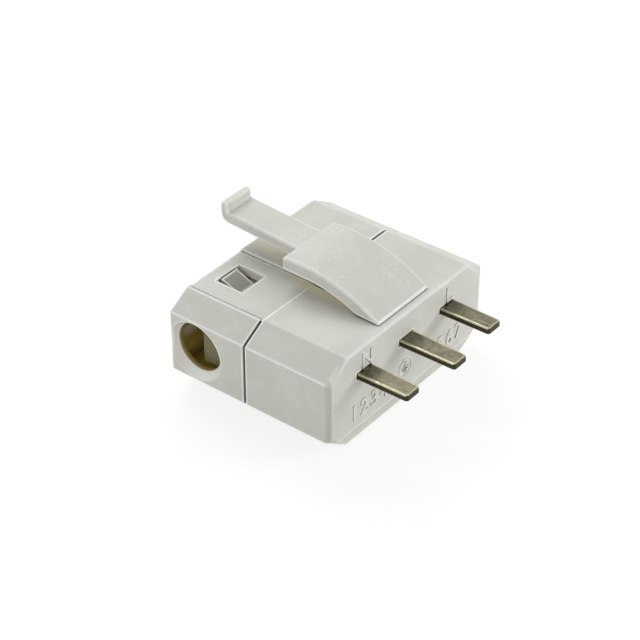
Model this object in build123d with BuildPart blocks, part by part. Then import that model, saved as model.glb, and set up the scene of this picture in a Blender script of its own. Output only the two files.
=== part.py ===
"""Ceiling light plug: a two-part moulded housing with three flat blades and a sprung latch lever.

Width runs along X, the blades point along -Y, and the latch lever is on top, towards +Z.
Heights are above the underside. Depths are counted from the front face, where the blades come out.
"""
import os
from math import hypot, sqrt

from build123d import *

# Housing
body_width = 38.0
body_height = 16.2
body_length = 29.5
front_length = 15.15
wall = 1.7
front_wall = 2.2
top_bevel_width = 4.25
top_bevel_height = 2.5
bottom_bevel_width = 5.0
bottom_bevel_height = 3.4
edge_radius = 0.35
split_gap = 0.45
nose_depth = 0.6
nose_side_width = 0.85
nose_shoulder_drop = 0.9
nose_foot_rise = 0.8
nose_foot_width = 2.2
nose_bottom_height = 2.5

# Neck and tongue that carry the rear cover
neck_length = 1.8
neck_wall = 1.0
slide_clearance = 0.15
tongue_left = -14.75
tongue_width = 11.85
tongue_drop = 0.35
tongue_gap = 0.1
window_left = -11.1
window_width = 5.3
window_setback = 7.3
window_length = 5.0

# Blades
blade_width = 3.35
blade_tip_width = 3.1
blade_thickness = 1.1
blade_drop = 4.05
blade_pitch = 10.1
blade_row_shift = -0.65
blade_reach = 8.7
earth_reach = 9.7
blade_tail = 14.4
blade_tip_chamfer = 0.35
blade_edge_radius = 0.25
blade_clearance = 0.08
shoulder_width = 4.8
shoulder_length = 1.0

# Terminals, their screws and the carrier that holds them
terminal_front = 10.0
terminal_length = 5.0
terminal_wall = 0.8
terminal_radius = 0.5
terminal_clearance = 0.1
seat_gap = 0.05
wire_room = 3.1
thread_wall = 1.8
screw_radius = 1.5
screw_clearance = 0.04
screw_length = 4.2
screw_backed_off = 1.2
head_radius = 2.1
head_height = 1.5
screw_chamfer = 0.3
slot_width = 0.7
slot_depth = 0.8
access_radius = 2.4
well_radius = 2.7
carrier_clearance = 0.2
carrier_overhang = 0.6

# Latch lever
lever_shift = 0.2
plate_width = 12.2
plate_front = 1.2
plate_rear = 18.8
crest_depth = 15.6
crest_height = 4.68
crest_radius = 25.5
toe_height = 0.1
toe_end = 5.3
toe_end_height = 0.3
hollow_crest_depth = 14.6
hollow_crest_height = 2.55
head_underside = 2.7
skirt_front = 5.6
skirt_gap = 0.45
skirt_wall = 1.2
skirt_setback = 2.6
skirt_drop = 0.6
pivot_depth = 3.6
pivot_drop = 1.4
trunnion_radius = 0.8
trunnion_length = 1.2
trunnion_clearance = 0.05
lug_wall = 1.2
lug_half_span = 4.4
lug_radius = 0.95
lead_in_width = 1.3
finger_width = 5.9
finger_shift = 0.3
finger_thickness = 1.8
finger_rise = 0.85
lever_reach = 33.3
lip_thickness = 1.1
lip_height = 1.55
lip_heel_radius = 1.5
lip_top_radius = 0.4
lip_root_radius = 0.5
lever_chamfer = 0.2

# Pocket for the lever in the top of the front housing
pocket_clearance = 0.25
pocket_front = 5.2
pocket_depth = 2.1
lug_pocket_front = 2.3
lug_pocket_depth = 2.6
pocket_wall = 0.9

# Latch spring
spring_radius = 1.6
spring_wire_radius = 0.2
spring_wire_sides = 5
spring_turns = 5
spring_gap = 0.3
spring_side_gap = 0.3
peg_radius = 1.1
peg_length = 1.2

# Cord entry and cord clamp
cord_setback = 5.0
cord_height = 9.1
cord_radius = 4.05
mouth_radius = 4.95
mouth_depth = 0.8
mouth_shift = 0.35
mouth_drop = 0.65
relief_clearance = 0.3
relief_length = 4.0
bed_top = 4.7
bed_length = 9.0
bed_setback = 9.3
jaw_inset = 0.6
jaw_setback = 9.1
jaw_depth = 4.6
jaw_right = -6.2
jaw_bottom = 5.6
jaw_top_drop = 2.1
jaw_bridge = 1.6
clamp_clearance = 0.2
rib_width = 1.0
tooth_pitch = 1.3
tooth_height = 0.7
barb_left = -10.3
barb_width = 3.5
barb_setback = 6.0
barb_length = 3.4
barb_low_drop = 1.7
barb_high_drop = 0.35

# Places that follow from the sizes. The origin is under the middle of the whole plug.
front_y = (earth_reach - lever_reach) / 2
half_width = body_width / 2
blade_x = {
    "neutral": blade_row_shift - blade_pitch,
    "earth": blade_row_shift,
    "live": blade_row_shift + blade_pitch,
}
reach = {"neutral": blade_reach, "earth": earth_reach, "live": blade_reach}
blade_top = body_height - blade_drop
blade_bottom = blade_top - blade_thickness
blade_slot = blade_width / 2 + blade_clearance
terminal_inside = blade_width / 2 + terminal_clearance
terminal_outside = terminal_inside + terminal_wall
terminal_ceiling = blade_top + seat_gap
terminal_top = terminal_ceiling + terminal_wall
terminal_floor = blade_bottom - wire_room
terminal_bottom = terminal_floor - thread_wall
terminal_middle = terminal_front + terminal_length / 2
terminal_rear = terminal_front + terminal_length
carrier_inset = wall + slide_clearance + neck_wall + carrier_clearance
carrier_front = front_wall + terminal_clearance
pivot_height = body_height - pivot_drop
skirt_rear = front_length - skirt_gap
pocket_bottom = body_height - pocket_depth
pocket_half = plate_width / 2 - skirt_setback + pocket_clearance
lug_pocket_half = lug_half_span + pocket_clearance
trunnion_half_span = lug_half_span + trunnion_length
neck_top = body_height - wall - slide_clearance
window_front = body_length - window_setback
cord_depth = body_length - cord_setback
bed_front = body_length - bed_setback
jaw_front = body_length - jaw_setback
barb_front = body_length - barb_setback
barb_rear = barb_front + barb_length
tongue_right = tongue_left + tongue_width
clamp_left = -half_width + wall + jaw_inset
clamp_rear = body_length - wall - clamp_clearance
hollow_length = hollow_crest_depth - toe_end
hollow_fall = hollow_crest_height - toe_end_height
hollow_radius = (hollow_length**2 + hollow_fall**2) / (2 * hollow_fall)
spring_reach = spring_radius + spring_wire_radius + spring_side_gap
spring_depth = skirt_rear - skirt_wall - spring_reach
spring_run = hollow_crest_depth - spring_depth
spring_fall = hollow_radius - sqrt(hollow_radius**2 - spring_run**2)
spring_ceiling = body_height + hollow_crest_height - spring_fall
spring_foot = pocket_bottom + spring_wire_radius + seat_gap
spring_top = spring_ceiling - spring_wire_radius - spring_gap
beyond = 2 * body_height
overcut = 1.0
mid_wall = wall / 2


def across(depth):
    """Plane across the plug, seen from the blades, at a depth behind the front face."""
    return Plane(origin=(0, front_y + depth, 0), x_dir=(1, 0, 0), z_dir=(0, -1, 0))


def along(x):
    """Plane along the plug at x. Its first coordinate is depth and its second is height."""
    return Plane(origin=(x, front_y, 0), x_dir=(0, 1, 0), z_dir=(1, 0, 0))


def level(height):
    """Flat plane at a height. Its first coordinate is x and its second is depth."""
    return Plane(origin=(0, front_y, height), x_dir=(1, 0, 0), z_dir=(0, 0, 1))


def inset_bevel(width, height, inset):
    """Width and height of a bevel, from its corner's box, once every side has moved in."""
    slope = hypot(width, height)
    return width + inset * (slope - width) / height, height + inset * (slope - height) / width


def mirrored_outline(side_points, mode):
    """Face whose right side has the given points, from the top down, and whose left is its mirror."""
    other_points = [(-x, z) for x, z in reversed(side_points)]
    with BuildLine() as outline:
        Polyline(*side_points, *other_points, close=True)
    make_face(outline.edges(), mode=mode)


def body_outline(inset=0.0, mode=Mode.ADD):
    """Section of the housing, bevelled at its four corners, drawn in by an inset."""
    top_run, top_fall = inset_bevel(top_bevel_width, top_bevel_height, inset)
    bottom_run, bottom_rise = inset_bevel(bottom_bevel_width, bottom_bevel_height, inset)
    side_points = [
        (half_width - top_run, body_height - inset),
        (half_width - inset, body_height - top_fall),
        (half_width - inset, bottom_rise),
        (half_width - bottom_run, inset),
    ]
    mirrored_outline(side_points, mode)


def nose_outline():
    """Outline of the flat front panel: drawn in at the sides and underside, full at the top."""
    side_points = [
        (half_width - top_bevel_width, body_height),
        (half_width - nose_side_width, body_height - top_bevel_height - nose_shoulder_drop),
        (half_width - nose_side_width, bottom_bevel_height + nose_foot_rise),
        (half_width - nose_foot_width, nose_bottom_height),
    ]
    mirrored_outline(side_points, Mode.ADD)


def block(x_range, depth_range, height_range, mode=Mode.ADD):
    """Rectangular block between two x values, two depths and two heights."""
    middle = ((x_range[0] + x_range[1]) / 2, (depth_range[0] + depth_range[1]) / 2)
    with BuildSketch(level(height_range[0])) as base:
        with Locations(middle):
            Rectangle(x_range[1] - x_range[0], depth_range[1] - depth_range[0])
    extrude(base.sketch, amount=height_range[1] - height_range[0], mode=mode)


def post(x, depth, radius, height_range, mode=Mode.ADD):
    """Upright round post or hole between two heights."""
    with BuildSketch(level(height_range[0])) as base:
        with Locations((x, depth)):
            Circle(radius)
    extrude(base.sketch, amount=height_range[1] - height_range[0], mode=mode)


def centred(middle, half):
    """Lower and upper limit of a range given by its middle and half its length."""
    return middle - half, middle + half


def save(piece, name):
    """Labels a finished piece and writes it to a file of its own."""
    piece.part.label = name
    export_step(piece.part, f"parts/{name}.step")


os.makedirs("parts", exist_ok=True)

# Front housing
with BuildPart() as front_housing:
    with BuildSketch(across(nose_depth)):
        body_outline()
    extrude(amount=nose_depth - front_length)
    with BuildSketch(across(0)):
        nose_outline()
    with BuildSketch(across(nose_depth)):
        body_outline()
    loft(ruled=True)
    fillet(front_housing.edges() - front_housing.edges().group_by(Axis.Y)[-1], radius=edge_radius)
    # Hollow for the terminal carrier, open at the rear
    with BuildSketch(across(front_wall)):
        body_outline(wall)
    extrude(amount=front_wall - front_length, mode=Mode.SUBTRACT)
    # Neck: its root lines the housing, and the rest enters the rear cover
    with BuildSketch(across(front_length - neck_length)):
        body_outline(wall)
        body_outline(wall + slide_clearance + neck_wall, Mode.SUBTRACT)
    extrude(amount=-neck_length)
    with BuildSketch(across(front_length)):
        body_outline(wall + slide_clearance)
        body_outline(wall + slide_clearance + neck_wall, Mode.SUBTRACT)
    extrude(amount=-neck_length)
    # Tongue that reaches back under the lever's finger
    block(
        (tongue_left, tongue_right),
        (front_length - wall, body_length - tongue_gap),
        (neck_top, body_height - tongue_drop),
    )
    block(
        (window_left, window_left + window_width),
        (window_front, window_front + window_length),
        (neck_top - wall, body_height),
        Mode.SUBTRACT,
    )
    # Tub around the lever's pocket, with cheeks for its trunnions
    block(
        centred(lever_shift, pocket_half + pocket_wall),
        (pocket_front - pocket_wall, front_length),
        (pocket_bottom - pocket_wall, body_height - mid_wall),
    )
    block(
        centred(lever_shift, trunnion_half_span + pocket_clearance + pocket_wall),
        (front_wall / 2, pocket_front + pocket_wall),
        (body_height - lug_pocket_depth - pocket_wall, body_height - mid_wall),
    )
    block(
        centred(lever_shift, pocket_half),
        (pocket_front, front_length),
        (pocket_bottom, beyond),
        Mode.SUBTRACT,
    )
    block(
        centred(lever_shift, lug_pocket_half),
        (lug_pocket_front, pocket_front + lead_in_width),
        (body_height - lug_pocket_depth, beyond),
        Mode.SUBTRACT,
    )
    with BuildSketch(along(lever_shift)) as trunnion_bore:
        with Locations((pivot_depth, pivot_height)):
            Circle(trunnion_radius + trunnion_clearance)
    extrude(
        trunnion_bore.sketch,
        amount=trunnion_half_span + pocket_clearance,
        both=True,
        mode=Mode.SUBTRACT,
    )
    block(
        centred(lever_shift, trunnion_half_span + pocket_clearance),
        centred(pivot_depth, lead_in_width / 2),
        (pivot_height, beyond),
        Mode.SUBTRACT,
    )
    # Blade slots in the front wall, and screwdriver holes in the underside
    for x in blade_x.values():
        block(
            centred(x, blade_slot),
            (-front_wall, 2 * front_wall),
            (blade_bottom - blade_clearance, blade_top + blade_clearance),
            Mode.SUBTRACT,
        )
        post(x, terminal_middle, access_radius, (-wall, 2 * wall), Mode.SUBTRACT)
save(front_housing, "front_housing")

# Rear cover
with BuildPart() as rear_cover:
    with BuildSketch(across(front_length + split_gap)):
        body_outline()
    extrude(amount=front_length + split_gap - body_length)
    fillet(rear_cover.edges() - rear_cover.edges().group_by(Axis.Y)[0], radius=edge_radius)
    with BuildSketch(across(front_length + split_gap)):
        body_outline(wall)
    extrude(amount=front_length + split_gap + wall - body_length, mode=Mode.SUBTRACT)
    # Raised bed under the cord, and a rib that stops the clamp's far end
    with BuildSketch(across(bed_front)):
        body_outline(mid_wall)
        with Locations((-half_width, 0)):
            Rectangle(2 * (wall + bed_length), 2 * bed_top, mode=Mode.INTERSECT)
    extrude(amount=bed_front - body_length + mid_wall)
    block(
        (jaw_right + clamp_clearance, jaw_right + clamp_clearance + rib_width),
        (jaw_front, jaw_front + jaw_depth),
        (mid_wall, neck_top - clamp_clearance),
    )
    # Cut-out for the front housing's tongue
    block(
        (tongue_left - tongue_gap, tongue_right + tongue_gap),
        (front_length, beyond),
        (neck_top, beyond),
        Mode.SUBTRACT,
    )
    # Cord entry: a flared mouth that leans down and back, the bore, and a wider relief inside
    with BuildSketch(along(-half_width)):
        with Locations((cord_depth + mouth_shift, cord_height - mouth_drop)):
            Circle(mouth_radius)
    with BuildSketch(along(-half_width + mouth_depth)):
        with Locations((cord_depth, cord_height)):
            Circle(cord_radius)
    loft(mode=Mode.SUBTRACT)
    with BuildSketch(along(-half_width)):
        with Locations((cord_depth, cord_height)):
            Circle(cord_radius)
    extrude(amount=wall, mode=Mode.SUBTRACT)
    with BuildSketch(along(-half_width + wall)):
        with Locations((cord_depth, cord_height)):
            Circle(cord_radius + relief_clearance)
    extrude(amount=relief_length, mode=Mode.SUBTRACT)
save(rear_cover, "rear_cover")

# Cord clamp: a bridge under the tongue, a toothed jaw and a barb that shows in the window
with BuildPart() as cord_clamp:
    jaw_top = body_height - jaw_top_drop
    clamp_middle = (clamp_left + jaw_right) / 2
    with BuildSketch(across(jaw_front)):
        body_outline(wall + clamp_clearance)
        with Locations((clamp_middle, (jaw_bottom + jaw_top) / 2)):
            Rectangle(jaw_right - clamp_left, jaw_top - jaw_bottom, mode=Mode.INTERSECT)
    extrude(amount=-jaw_depth)
    with BuildSketch(across(jaw_front)):
        body_outline(wall + clamp_clearance)
        with Locations((clamp_middle, jaw_top - jaw_bridge / 2)):
            Rectangle(jaw_right - clamp_left, jaw_bridge, mode=Mode.INTERSECT)
    extrude(amount=jaw_front - clamp_rear)
    tooth_count = int((jaw_right - clamp_left) / tooth_pitch)
    with BuildSketch(across(jaw_front)):
        with Locations((clamp_middle, jaw_bottom)):
            with GridLocations(tooth_pitch, 1, tooth_count, 1):
                Polygon(
                    (-tooth_pitch / 2, 0),
                    (tooth_pitch / 2, 0),
                    (0, tooth_height),
                    align=None,
                )
    extrude(amount=-jaw_depth, mode=Mode.SUBTRACT)
    with BuildSketch(along(barb_left)):
        Polygon(
            (barb_front, jaw_top - jaw_bridge / 2),
            (barb_rear, jaw_top - jaw_bridge / 2),
            (barb_rear, body_height - barb_high_drop),
            (barb_front, body_height - barb_low_drop),
            align=None,
        )
    extrude(amount=barb_width)
save(cord_clamp, "cord_clamp")

# Terminal carrier
with BuildPart() as terminal_carrier:
    with BuildSketch(across(carrier_front)):
        body_outline(carrier_inset)
    extrude(amount=carrier_front - terminal_rear - carrier_overhang)
    block(
        centred(lever_shift, trunnion_half_span + 2 * pocket_clearance + pocket_wall),
        (0, pocket_front + pocket_wall + carrier_clearance),
        (body_height - lug_pocket_depth - pocket_wall - carrier_clearance, beyond),
        Mode.SUBTRACT,
    )
    for x in blade_x.values():
        block(
            centred(x, terminal_outside + terminal_clearance),
            (terminal_front - terminal_clearance, beyond),
            (terminal_bottom - terminal_clearance, beyond),
            Mode.SUBTRACT,
        )
        block(
            centred(x, blade_slot),
            (0, terminal_front),
            (blade_bottom - blade_clearance, blade_top + blade_clearance),
            Mode.SUBTRACT,
        )
        block(
            centred(x, shoulder_width / 2 + blade_clearance),
            (0, carrier_front + shoulder_length + blade_clearance),
            (blade_bottom - blade_clearance, blade_top + blade_clearance),
            Mode.SUBTRACT,
        )
        post(x, terminal_middle, well_radius, (0, terminal_bottom), Mode.SUBTRACT)
save(terminal_carrier, "terminal_carrier")

# Blades with their terminals and screws
for name, x in blade_x.items():
    with BuildPart() as blade:
        with BuildSketch(level(blade_bottom)) as blade_plan:
            with Locations((x, blade_tail / 2)):
                Rectangle(blade_width, blade_tail)
            with Locations((x, 0)):
                Polygon(
                    (-blade_width / 2, 0),
                    (blade_width / 2, 0),
                    (blade_tip_width / 2, -reach[name]),
                    (-blade_tip_width / 2, -reach[name]),
                    align=None,
                )
            tip_corners = blade_plan.vertices().group_by(Axis.Y)[0]
            chamfer(tip_corners, length=blade_tip_chamfer)
            with Locations((x, carrier_front + shoulder_length / 2)):
                Rectangle(shoulder_width, shoulder_length)
        extrude(amount=blade_thickness)
        outside_front = blade.edges().filter_by_position(
            Axis.Y, front_y - reach[name] - overcut, front_y + overcut
        )
        flat_edges = outside_front.filter_by(Plane.XY)
        fillet(flat_edges, radius=blade_edge_radius)
    save(blade, f"blade_{name}")

    with BuildPart() as terminal:
        with BuildSketch(across(terminal_front)) as cage:
            with Locations((x, (terminal_top + terminal_bottom) / 2)):
                RectangleRounded(
                    2 * terminal_outside, terminal_top - terminal_bottom, terminal_radius
                )
            with Locations((x, (terminal_ceiling + terminal_floor) / 2)):
                Rectangle(
                    2 * terminal_inside, terminal_ceiling - terminal_floor, mode=Mode.SUBTRACT
                )
        extrude(amount=-terminal_length)
        post(
            x,
            terminal_middle,
            screw_radius + screw_clearance,
            (terminal_bottom - overcut, terminal_floor + overcut),
            Mode.SUBTRACT,
        )
    save(terminal, f"terminal_{name}")

    with BuildPart() as screw:
        head_top = terminal_bottom - screw_backed_off
        head_bottom = head_top - head_height
        post(x, terminal_middle, head_radius, (head_bottom, head_top))
        post(x, terminal_middle, screw_radius, (head_top, head_top + screw_length))
        round_edges = screw.edges().filter_by(GeomType.CIRCLE)
        chamfer(round_edges.sort_by(Axis.Z)[0], length=screw_chamfer)
        chamfer(round_edges.sort_by(Axis.Z)[-1], length=screw_chamfer)
        block(
            centred(x, head_radius + overcut),
            centred(terminal_middle, slot_width / 2),
            (head_bottom - overcut, head_bottom + slot_depth),
            Mode.SUBTRACT,
        )
    save(screw, f"screw_{name}")

# Places on the latch lever
plate_left = lever_shift - plate_width / 2
crest = (crest_depth, body_height + crest_height)
tip_fall = crest_radius - sqrt(crest_radius**2 - (crest_depth - plate_front) ** 2)
tip = (plate_front, crest[1] - tip_fall)
head_fall = crest_radius - sqrt(crest_radius**2 - (plate_rear - crest_depth) ** 2)
head = (plate_rear, crest[1] - head_fall)
head_foot = (plate_rear, body_height + head_underside)
hollow_crest = (hollow_crest_depth, body_height + hollow_crest_height)
toe_end_point = (toe_end, body_height + toe_end_height)
toe = (plate_front, body_height + toe_height)
finger_foot = head[1] - finger_thickness
finger_end = head[1] + finger_rise
lip_inside = lever_reach - lip_thickness
web_left = plate_left + skirt_setback
web_span = plate_width - 2 * skirt_setback


def under_plate(depth_range):
    """Face between two depths, from the skirt's lower edge up to the top of the plate."""
    skirt_foot = body_height - skirt_drop
    with BuildLine() as outline:
        RadiusArc(tip, crest, crest_radius)
        Polyline(crest, (crest_depth, skirt_foot), (plate_front, skirt_foot), tip)
    make_face(outline.edges())
    with Locations((sum(depth_range) / 2, skirt_foot)):
        Rectangle(depth_range[1] - depth_range[0], 2 * body_height, mode=Mode.INTERSECT)


# Finger of the latch lever, with an upturned lip and bevelled edges
with BuildPart() as lever_finger:
    with BuildSketch(along(finger_shift - finger_width / 2)) as finger:
        with BuildLine():
            Polyline(
                (crest_depth, finger_foot),
                (crest_depth, head[1]),
                (plate_rear, head[1]),
                (lip_inside, finger_end),
                (lip_inside, finger_end + lip_height),
                (lever_reach, finger_end + lip_height),
                (lever_reach, finger_end - finger_thickness),
                (plate_rear, finger_foot),
                close=True,
            )
        make_face()
        heel_corner = finger.vertices().group_by(Axis.X)[-1].sort_by(Axis.Y)[0]
        fillet(heel_corner, radius=lip_heel_radius)
        lip_corners = finger.vertices().group_by(Axis.Y)[-1]
        fillet(lip_corners, radius=lip_top_radius)
        lip_root = finger.vertices().sort_by_distance((lip_inside, finger_end))[0]
        fillet(lip_root, radius=lip_root_radius)
    extrude(amount=finger_width)
    side_edges = lever_finger.faces().filter_by(Plane.YZ).edges()
    hidden_edges = side_edges.filter_by_position(Axis.Y, front_y, front_y + crest_depth)
    chamfer(side_edges - hidden_edges, length=lever_chamfer)

# Latch lever
with BuildPart() as latch_lever:
    with BuildSketch(along(plate_left)):
        with BuildLine():
            RadiusArc(tip, crest, crest_radius)
            RadiusArc(crest, head, crest_radius)
            Polyline(head, head_foot, hollow_crest)
            TangentArc(hollow_crest, toe_end_point, tangent=(-1, 0))
            Polyline(toe_end_point, toe, tip)
        make_face()
    extrude(amount=plate_width)
    crest_edges = latch_lever.edges().filter_by(GeomType.CIRCLE).sort_by(SortBy.LENGTH)[-2:]
    rear_edges = latch_lever.faces().sort_by(Axis.Y)[-1].edges()
    chamfer(crest_edges + (rear_edges - rear_edges.group_by(Axis.Z)[0]), length=lever_chamfer)
    add(lever_finger.part)
    # Skirt under the plate, open in the middle for the spring
    for x in (web_left, web_left + web_span - skirt_wall):
        with BuildSketch(along(x)) as side_web:
            under_plate((skirt_front, skirt_rear))
        extrude(side_web.sketch, amount=skirt_wall)
    with BuildSketch(along(web_left)) as rear_web:
        under_plate((skirt_rear - skirt_wall, skirt_rear))
    extrude(rear_web.sketch, amount=web_span)
    # Lugs and trunnions
    for side in (-1, 1):
        lug_face = lever_shift + side * lug_half_span
        with BuildSketch(along(lug_face)) as lug:
            with Locations((pivot_depth, pivot_height)):
                Circle(lug_radius)
            with Locations((pivot_depth, (pivot_height + body_height) / 2)):
                Rectangle(2 * lug_radius, pivot_drop + 2 * toe_end_height)
        extrude(lug.sketch, amount=-side * lug_wall)
        with BuildSketch(along(lug_face)) as trunnion:
            with Locations((pivot_depth, pivot_height)):
                Circle(trunnion_radius)
        extrude(trunnion.sketch, amount=side * trunnion_length)
    # Peg inside the spring
    post(
        lever_shift,
        spring_depth,
        peg_radius,
        (spring_top - peg_length, spring_top + finger_thickness),
    )
save(latch_lever, "latch_lever")

# Latch spring
with BuildPart() as latch_spring:
    with BuildLine(Plane(origin=(lever_shift, front_y + spring_depth, spring_foot))) as coil:
        Helix(
            pitch=(spring_top - spring_foot) / spring_turns,
            height=spring_top - spring_foot,
            radius=spring_radius,
        )
    with BuildSketch(Plane(origin=coil.line @ 0, z_dir=coil.line % 0)):
        RegularPolygon(spring_wire_radius, spring_wire_sides)
    sweep(is_frenet=True)
save(latch_spring, "latch_spring")
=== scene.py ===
"""Ceiling light plug: finishes, raised marks, wound spring, floor, lamps and camera around the plug."""

from math import pi, tau

import bpy
import numpy as np
from bpy.props import (
    FloatProperty,
    FloatVectorProperty,
    IntProperty,
    PointerProperty,
    StringProperty,
)
from bpy.types import Operator, Panel, PropertyGroup
from mathutils import Matrix, Vector


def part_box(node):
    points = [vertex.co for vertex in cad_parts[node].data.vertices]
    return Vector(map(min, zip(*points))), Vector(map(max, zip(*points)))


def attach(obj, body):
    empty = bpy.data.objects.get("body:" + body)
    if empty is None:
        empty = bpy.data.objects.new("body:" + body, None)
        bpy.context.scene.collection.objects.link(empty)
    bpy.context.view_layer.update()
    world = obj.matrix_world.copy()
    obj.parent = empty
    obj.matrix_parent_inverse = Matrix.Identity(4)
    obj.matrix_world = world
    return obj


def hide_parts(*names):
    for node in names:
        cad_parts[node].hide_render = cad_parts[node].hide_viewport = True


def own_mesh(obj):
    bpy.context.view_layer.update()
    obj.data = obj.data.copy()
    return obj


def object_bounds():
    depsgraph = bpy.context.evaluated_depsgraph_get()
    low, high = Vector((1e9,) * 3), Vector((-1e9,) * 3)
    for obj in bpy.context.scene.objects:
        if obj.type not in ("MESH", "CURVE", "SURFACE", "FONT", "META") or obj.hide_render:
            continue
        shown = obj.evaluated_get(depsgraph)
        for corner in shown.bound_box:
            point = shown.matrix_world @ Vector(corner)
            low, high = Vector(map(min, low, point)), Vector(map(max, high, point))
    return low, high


bl_info = {
    "name": "Ceiling light plug",
    "version": (1, 0, 0),
    "blender": (4, 5, 0),
    "location": "3D View > Sidebar > Plug",
    "description": "Finishes, marks, spring, floor and lamps of a ceiling light plug",
    "category": "Object",
}

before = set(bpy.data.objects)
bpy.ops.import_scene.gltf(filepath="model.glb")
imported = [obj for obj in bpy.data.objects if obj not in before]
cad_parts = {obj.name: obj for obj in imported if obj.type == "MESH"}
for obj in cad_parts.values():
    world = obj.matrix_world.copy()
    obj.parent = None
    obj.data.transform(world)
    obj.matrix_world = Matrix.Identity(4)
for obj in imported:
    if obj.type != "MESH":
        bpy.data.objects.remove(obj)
cad_low, cad_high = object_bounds()
MM = 0.001

# Places on the housing: its front face, the tongue's left edge, half the front panel's width and its
# lower edge, the foot of the upper bevels, the middle of the cord mouth, and the cover's inside heights
FRONT_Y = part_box("front_housing")[0].y
TONGUE_LEFT = -14.75 * MM
PANEL_HALF = 18.15 * MM
PANEL_FOOT = 2.5 * MM
BEVEL_FOOT = 13.7 * MM
MOUTH_Y = 12.7 * MM
MOUTH_Z = 9.1 * MM
INSIDE_BOTTOM = 3.1 * MM
INSIDE_TOP = 12.9 * MM

# Colour of rubbed edges that also serves as painted highlight and glint, colour of painted shade in gaps,
# and how much lighter and warmer hollows are painted as bounce light
WORN_AND_HIGHLIT = (0.90, 0.90, 0.87)
PAINTED_GAP_SHADE = (0.045, 0.038, 0.018)
HOLLOW_GLOW = (1.35, 1.3, 1.15)

# Marks on the front face: where they stand, how deep they sit in it and how narrow they are on top
LETTER_X = 10.1 * MM
LETTER_FOOT = 12.35 * MM
NUMBER_FOOT = 4.1 * MM
NUMBER_START = -13.0 * MM
NUMBER_STEP = 2.35 * MM
EARTH_X = -0.8 * MM
EARTH_Z = 6.5 * MM
EARTH_RADIUS = 1.5 * MM
EARTH_RING_LINE = 0.14 * MM
EARTH_STEM = 0.95 * MM
EARTH_BARS = (0.85 * MM, 0.55 * MM, 0.25 * MM)
EARTH_BAR_STEP = 0.38 * MM
EARTH_BAR_LINE = 0.1 * MM
SUNK = 0.1 * MM
TOP_SHARE = 0.6
RING_STEPS = 64

SPRING_WIRE = 0.2 * MM
RINGS_PER_TURN = 40

# The lamps: direction from the plug, distance and width in metres, and the setting of their level
LAMPS = {
    "key_lamp": ((0.62, -0.70, 0.37), 0.60, 0.22, "key"),
    "front_card": ((0.10, -0.98, 0.15), 0.60, 0.50, "card"),
    "fill_lamp": ((-0.97, -0.20, 0.14), 0.60, 0.40, "fill"),
    "top_lamp": ((0.35, 0.65, 0.67), 0.70, 0.45, "top"),
}
LAMP_AIM = Vector((0, 0, 8 * MM))
FLOOR_HALF = 3.0
FLOOR_DROP = 0.02 * MM
FLOOR_SHADE = (0.80, 0.80, 0.79)
FLOOR_SEEN = (0.24, 0.24, 0.238)
FLOOR_GLOW = 0.79

# The camera: its three directions, the point it looks at, its distance and its sensor's width
CAMERA_RIGHT = Vector((0.61765, -0.78644, 0.0))
CAMERA_UP = Vector((0.45970, 0.36104, 0.81136))
CAMERA_BACK = Vector((-0.63810, -0.50115, 0.58453))
CAMERA_AIM = Vector((-3.8357, 1.6107, 10.7104)) * MM
CAMERA_DISTANCE = 295.97 * MM
SENSOR_WIDTH = 36.0


class FinishSettings(PropertyGroup):
    """Colours of the plug's materials and the size of their grain."""

    housing: FloatVectorProperty(
        name="Housing",
        description="Colour of the off-white mouldings",
        subtype="COLOR",
        default=(0.62, 0.616, 0.565),
        min=0,
        max=1,
    )
    clamp: FloatVectorProperty(
        name="Cord clamp",
        description="Colour of the grey clamp moulding",
        subtype="COLOR",
        default=(0.33, 0.33, 0.295),
        min=0,
        max=1,
    )
    carrier: FloatVectorProperty(
        name="Terminal carrier",
        description="Colour of the insulating block inside",
        subtype="COLOR",
        default=(0.40, 0.36, 0.28),
        min=0,
        max=1,
    )
    plating: FloatVectorProperty(
        name="Blade plating",
        description="Colour of the nickel on the blades' flat sides",
        subtype="COLOR",
        default=(0.15, 0.14, 0.097),
        min=0,
        max=1,
    )
    # Dull colour of the blades' cut edges, dark also as a painted dark reflection on their upright faces
    sheared_dark_reflection: FloatVectorProperty(
        name="Sheared edges and dark reflection",
        description="Colour of the blades' dull cut edges, also their painted dark reflection",
        subtype="COLOR",
        default=(0.05, 0.046, 0.028),
        min=0,
        max=1,
    )
    brass: FloatVectorProperty(
        name="Terminal brass",
        description="Colour of the terminal cages",
        subtype="COLOR",
        default=(0.72, 0.52, 0.24),
        min=0,
        max=1,
    )
    zinc: FloatVectorProperty(
        name="Screw zinc",
        description="Colour of the zinc plated screws",
        subtype="COLOR",
        default=(0.55, 0.56, 0.58),
        min=0,
        max=1,
    )
    wire: FloatVectorProperty(
        name="Spring wire",
        description="Colour of the drawn spring wire",
        subtype="COLOR",
        default=(0.42, 0.42, 0.41),
        min=0,
        max=1,
    )
    grain_size: FloatProperty(
        name="Grain size",
        description="Width of one grain of the spark-eroded mould texture",
        unit="LENGTH",
        subtype="DISTANCE",
        default=0.2 * MM,
        min=0.02 * MM,
        max=2 * MM,
        precision=6,
    )


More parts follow.
